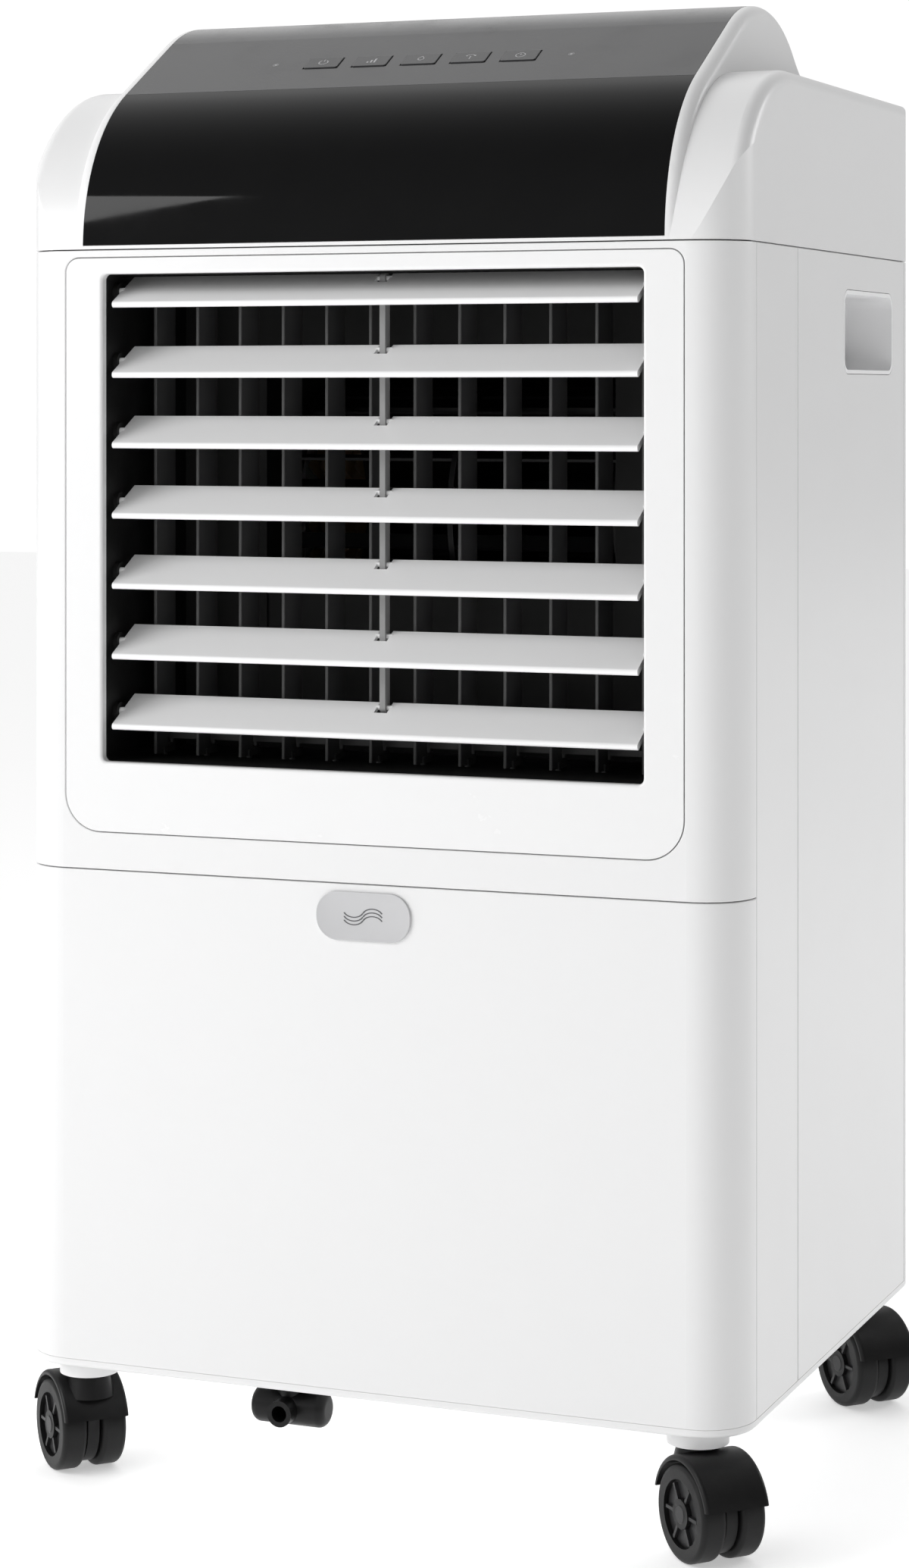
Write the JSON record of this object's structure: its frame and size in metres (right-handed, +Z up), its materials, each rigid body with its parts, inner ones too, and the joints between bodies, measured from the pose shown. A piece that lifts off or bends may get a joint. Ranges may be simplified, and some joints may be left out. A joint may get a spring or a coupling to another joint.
{
  "type": "portable air conditioner",
  "caption": "Portable evaporative air cooler on casters: upright white cabinet, tilting louvre over swinging vanes, black curved console, rear filter and water tank drawer.",
  "frame": {"origin": "on the floor, under the middle of the object's footprint with its casters at rest", "axes": "+Z up, front with the louvre towards -Y, +X towards the side that is on the right when facing the front"},
  "size_m": [0.405, 0.3528, 0.7481],
  "materials": {
    "board_green": "circuit board",
    "caster_black": "satin black nylon",
    "cup_grey": "fine-grained light grey",
    "drain_black": "satin black",
    "duct_black": "satin black moulded",
    "fan_black": "moulded dark",
    "gland_black": "nylon",
    "grille_white": "satin white",
    "hose_silicone": "clear silicone",
    "key_black": "satin key cap",
    "lens_black": "high-gloss black",
    "link_grey": "natural moulded",
    "louvre_white": "semi-gloss moulded white",
    "motor_steel": "zinc-plated can",
    "pad_paper": "corrugated cellulose",
    "pump_black": "moulded black",
    "rear_shell": "fine satin white",
    "screw_steel": "zinc-plated",
    "scroll_grey": "moulded dark",
    "slat_white": "semi-gloss moulded white",
    "strip_grey": "satin smoke grey",
    "swing_case": "plated can",
    "tank_plastic": "translucent satin",
    "tray_white": "moulded",
    "vane_white": "satin moulded light grey",
    "wheel_black": "black tread on a grey hub",
    "white_shell": "semi-gloss moulded white",
    "badge_silver": "brushed, blank"
  },
  "bodies": {
    "cabinet": {"air_duct": "duct_black", "base_pan": "white_shell", "blower_scroll": "scroll_grey", "console_lens": "lens_black", "control_board": "board_green", "control_strip": "strip_grey", "cooling_pad": "pad_paper", "cord_gland": "gland_black", "drain_spout": "drain_black", "fan_motor": "motor_steel", "front_casing": "white_shell", "handle_cups": "cup_grey", "louvre_frame": "louvre_white", "lower_panel": "white_shell", "pad_case": "tray_white", "rear_frame": "rear_shell", "rear_screws": "screw_steel", "side_panel_left": "white_shell", "side_panel_right": "white_shell", "swing_motor": "swing_case", "top_housing": "white_shell", "water_hose": "hose_silicone"},
    "slat_1": {"slat_1": "slat_white"},
    "slat_2": {"slat_2": "slat_white"},
    "slat_3": {"slat_3": "slat_white"},
    "slat_4": {"slat_4": "slat_white"},
    "slat_5": {"slat_5": "slat_white"},
    "slat_6": {"slat_6": "slat_white"},
    "slat_7": {"slat_7": "slat_white"},
    "slat_link": {"slat_link": "link_grey"},
    "vane_01": {"vane_01": "vane_white"},
    "vane_02": {"vane_02": "vane_white"},
    "vane_03": {"vane_03": "vane_white"},
    "vane_04": {"vane_04": "vane_white"},
    "vane_05": {"vane_05": "vane_white"},
    "vane_06": {"vane_06": "vane_white"},
    "vane_07": {"vane_07": "vane_white"},
    "vane_08": {"vane_08": "vane_white"},
    "vane_09": {"vane_09": "vane_white"},
    "vane_10": {"vane_10": "vane_white"},
    "vane_11": {"vane_11": "vane_white"},
    "vane_12": {"vane_12": "vane_white"},
    "vane_link": {"vane_link": "vane_white"},
    "key_1": {"key_1": "key_black"},
    "key_2": {"key_2": "key_black"},
    "key_3": {"key_3": "key_black"},
    "key_4": {"key_4": "key_black"},
    "key_5": {"key_5": "key_black"},
    "blower_wheel": {"blower_wheel": "fan_black"},
    "filter": {"filter_grille": "grille_white"},
    "tank": {"water_tank": "tank_plastic", "water_pump": "pump_black"},
    "caster_front_right": {"caster_fork_front_right": "caster_black"},
    "wheels_front_right": {"caster_wheels_front_right": "wheel_black"},
    "caster_front_left": {"caster_fork_front_left": "caster_black"},
    "wheels_front_left": {"caster_wheels_front_left": "wheel_black"},
    "caster_rear_left": {"caster_fork_rear_left": "caster_black"},
    "wheels_rear_left": {"caster_wheels_rear_left": "wheel_black"},
    "caster_rear_right": {"caster_fork_rear_right": "caster_black"},
    "wheels_rear_right": {"caster_wheels_rear_right": "wheel_black"}
  },
  "joints": [
    {"name": "slat_1_tilt", "type": "hinge", "parent": "cabinet", "child": "slat_1", "pos_m": [0, -0.1455, 0.6026], "axis": [1, 0, 0], "range_deg": [-52, 0]},
    {"name": "slat_2_tilt", "type": "hinge", "parent": "cabinet", "child": "slat_2", "pos_m": [0, -0.1455, 0.5672], "axis": [1, 0, 0], "range_deg": [-52, 0]},
    {"name": "slat_3_tilt", "type": "hinge", "parent": "cabinet", "child": "slat_3", "pos_m": [0, -0.1455, 0.5318], "axis": [1, 0, 0], "range_deg": [-52, 0]},
    {"name": "slat_4_tilt", "type": "hinge", "parent": "cabinet", "child": "slat_4", "pos_m": [0, -0.1455, 0.4964], "axis": [1, 0, 0], "range_deg": [-52, 0]},
    {"name": "slat_5_tilt", "type": "hinge", "parent": "cabinet", "child": "slat_5", "pos_m": [0, -0.1455, 0.461], "axis": [1, 0, 0], "range_deg": [-52, 0]},
    {"name": "slat_6_tilt", "type": "hinge", "parent": "cabinet", "child": "slat_6", "pos_m": [0, -0.1455, 0.4256], "axis": [1, 0, 0], "range_deg": [-52, 0]},
    {"name": "slat_7_tilt", "type": "hinge", "parent": "cabinet", "child": "slat_7", "pos_m": [0, -0.1455, 0.3902], "axis": [1, 0, 0], "range_deg": [-52, 0]},
    {"name": "slat_link_pivot", "type": "hinge", "parent": "slat_1", "child": "slat_link", "pos_m": [0, -0.13597, 0.6081], "axis": [1, 0, 0], "range_deg": [0, 52]},
    {"name": "vane_01_swing", "type": "hinge", "parent": "cabinet", "child": "vane_01", "pos_m": [-0.13154, -0.115, 0.366], "axis": [0, 0, 1], "range_deg": [-30, 30]},
    {"name": "vane_02_swing", "type": "hinge", "parent": "cabinet", "child": "vane_02", "pos_m": [-0.10762, -0.115, 0.366], "axis": [0, 0, 1], "range_deg": [-30, 30]},
    {"name": "vane_03_swing", "type": "hinge", "parent": "cabinet", "child": "vane_03", "pos_m": [-0.08371, -0.115, 0.366], "axis": [0, 0, 1], "range_deg": [-30, 30]},
    {"name": "vane_04_swing", "type": "hinge", "parent": "cabinet", "child": "vane_04", "pos_m": [-0.05979, -0.115, 0.366], "axis": [0, 0, 1], "range_deg": [-30, 30]},
    {"name": "vane_05_swing", "type": "hinge", "parent": "cabinet", "child": "vane_05", "pos_m": [-0.03587, -0.115, 0.366], "axis": [0, 0, 1], "range_deg": [-30, 30]},
    {"name": "vane_06_swing", "type": "hinge", "parent": "cabinet", "child": "vane_06", "pos_m": [-0.01196, -0.115, 0.366], "axis": [0, 0, 1], "range_deg": [-30, 30]},
    {"name": "vane_07_swing", "type": "hinge", "parent": "cabinet", "child": "vane_07", "pos_m": [0.01196, -0.115, 0.366], "axis": [0, 0, 1], "range_deg": [-30, 30]},
    {"name": "vane_08_swing", "type": "hinge", "parent": "cabinet", "child": "vane_08", "pos_m": [0.03587, -0.115, 0.366], "axis": [0, 0, 1], "range_deg": [-30, 30]},
    {"name": "vane_09_swing", "type": "hinge", "parent": "cabinet", "child": "vane_09", "pos_m": [0.05979, -0.115, 0.366], "axis": [0, 0, 1], "range_deg": [-30, 30]},
    {"name": "vane_10_swing", "type": "hinge", "parent": "cabinet", "child": "vane_10", "pos_m": [0.08371, -0.115, 0.366], "axis": [0, 0, 1], "range_deg": [-30, 30]},
    {"name": "vane_11_swing", "type": "hinge", "parent": "cabinet", "child": "vane_11", "pos_m": [0.10762, -0.115, 0.366], "axis": [0, 0, 1], "range_deg": [-30, 30]},
    {"name": "vane_12_swing", "type": "hinge", "parent": "cabinet", "child": "vane_12", "pos_m": [0.13154, -0.115, 0.366], "axis": [0, 0, 1], "range_deg": [-30, 30]},
    {"name": "vane_link_pivot", "type": "hinge", "parent": "vane_01", "child": "vane_link", "pos_m": [-0.13154, -0.107, 0.375], "axis": [0, 0, 1], "range_deg": [-30, 30]},
    {"name": "key_1_press", "type": "slide", "parent": "cabinet", "child": "key_1", "axis": [0, 0.5, -0.866], "range_m": [0, 0.0008], "stiffness_N_per_m": 600},
    {"name": "key_2_press", "type": "slide", "parent": "cabinet", "child": "key_2", "axis": [0, 0.5, -0.866], "range_m": [0, 0.0008], "stiffness_N_per_m": 600},
    {"name": "key_3_press", "type": "slide", "parent": "cabinet", "child": "key_3", "axis": [0, 0.5, -0.866], "range_m": [0, 0.0008], "stiffness_N_per_m": 600},
    {"name": "key_4_press", "type": "slide", "parent": "cabinet", "child": "key_4", "axis": [0, 0.5, -0.866], "range_m": [0, 0.0008], "stiffness_N_per_m": 600},
    {"name": "key_5_press", "type": "slide", "parent": "cabinet", "child": "key_5", "axis": [0, 0.5, -0.866], "range_m": [0, 0.0008], "stiffness_N_per_m": 600},
    {"name": "blower_spin", "type": "hinge", "parent": "cabinet", "child": "blower_wheel", "pos_m": [0, 0.017, 0.4885], "axis": [1, 0, 0], "continuous": true},
    {"name": "filter_pull", "type": "slide", "parent": "cabinet", "child": "filter", "axis": [0, 1, 0], "range_m": [0, 0.08]},
    {"name": "tank_slide", "type": "slide", "parent": "cabinet", "child": "tank", "axis": [0, 1, 0], "range_m": [0, 0.16]},
    {"name": "caster_front_right_swivel", "type": "hinge", "parent": "cabinet", "child": "caster_front_right", "pos_m": [0.163, -0.138, 0.052], "axis": [0, 0, 1], "continuous": true},
    {"name": "wheels_front_right_roll", "type": "hinge", "parent": "caster_front_right", "child": "wheels_front_right", "pos_m": [0.17251, -0.14687, 0.023], "axis": [0.682, 0.7314, 0], "continuous": true},
    {"name": "caster_front_left_swivel", "type": "hinge", "parent": "cabinet", "child": "caster_front_left", "pos_m": [-0.163, -0.138, 0.052], "axis": [0, 0, 1], "continuous": true},
    {"name": "wheels_front_left_roll", "type": "hinge", "parent": "caster_front_left", "child": "wheels_front_left", "pos_m": [-0.17251, -0.12913, 0.023], "axis": [-0.682, -0.7314, 0], "continuous": true},
    {"name": "caster_rear_left_swivel", "type": "hinge", "parent": "cabinet", "child": "caster_rear_left", "pos_m": [-0.163, 0.138, 0.052], "axis": [0, 0, 1], "continuous": true},
    {"name": "wheels_rear_left_roll", "type": "hinge", "parent": "caster_rear_left", "child": "wheels_rear_left", "pos_m": [-0.17251, 0.14687, 0.023], "axis": [-0.682, -0.7314, 0], "continuous": true},
    {"name": "caster_rear_right_swivel", "type": "hinge", "parent": "cabinet", "child": "caster_rear_right", "pos_m": [0.163, 0.138, 0.052], "axis": [0, 0, 1], "continuous": true},
    {"name": "wheels_rear_right_roll", "type": "hinge", "parent": "caster_rear_right", "child": "wheels_rear_right", "pos_m": [0.17251, 0.12913, 0.023], "axis": [0.682, 0.7314, 0], "continuous": true}
  ],
  "couplings": [
    {"joint": "slat_2_tilt", "follows": "slat_1_tilt", "ratio": 1},
    {"joint": "slat_3_tilt", "follows": "slat_1_tilt", "ratio": 1},
    {"joint": "slat_4_tilt", "follows": "slat_1_tilt", "ratio": 1},
    {"joint": "slat_5_tilt", "follows": "slat_1_tilt", "ratio": 1},
    {"joint": "slat_6_tilt", "follows": "slat_1_tilt", "ratio": 1},
    {"joint": "slat_7_tilt", "follows": "slat_1_tilt", "ratio": 1},
    {"joint": "slat_link_pivot", "follows": "slat_1_tilt", "ratio": -1},
    {"joint": "vane_02_swing", "follows": "vane_01_swing", "ratio": 1},
    {"joint": "vane_03_swing", "follows": "vane_01_swing", "ratio": 1},
    {"joint": "vane_04_swing", "follows": "vane_01_swing", "ratio": 1},
    {"joint": "vane_05_swing", "follows": "vane_01_swing", "ratio": 1},
    {"joint": "vane_06_swing", "follows": "vane_01_swing", "ratio": 1},
    {"joint": "vane_07_swing", "follows": "vane_01_swing", "ratio": 1},
    {"joint": "vane_08_swing", "follows": "vane_01_swing", "ratio": 1},
    {"joint": "vane_09_swing", "follows": "vane_01_swing", "ratio": 1},
    {"joint": "vane_10_swing", "follows": "vane_01_swing", "ratio": 1},
    {"joint": "vane_11_swing", "follows": "vane_01_swing", "ratio": 1},
    {"joint": "vane_12_swing", "follows": "vane_01_swing", "ratio": 1},
    {"joint": "vane_link_pivot", "follows": "vane_01_swing", "ratio": -1}
  ]
}
